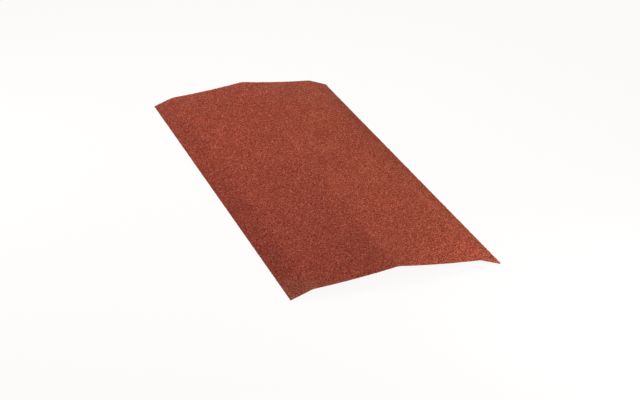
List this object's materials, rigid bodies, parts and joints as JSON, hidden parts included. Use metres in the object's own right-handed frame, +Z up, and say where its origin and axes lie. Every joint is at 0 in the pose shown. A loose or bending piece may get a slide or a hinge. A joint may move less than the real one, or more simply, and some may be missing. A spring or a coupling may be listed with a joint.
{
  "type": "roof ridge cap",
  "caption": "Long shallow folded sheet that caps a roof ridge, with gently dished wings and down-turned side lips, faced with fine terracotta stone granules.",
  "frame": {"origin": "middle of the footprint, on the level that the lips' lower edges rest on", "axes": "+Z up out of the roof, +Y along the ridge, +X across it; the cap is the same on both sides of the YZ plane and at both ends"},
  "size_m": [0.4094, 0.9, 0.0331],
  "materials": {
    "granule_coat": "matte terracotta red, fine crushed-stone granules bonded to steel sheet"
  },
  "bodies": {
    "root": {"ridge_cap": "granule_coat"}
  },
  "joints": []
}
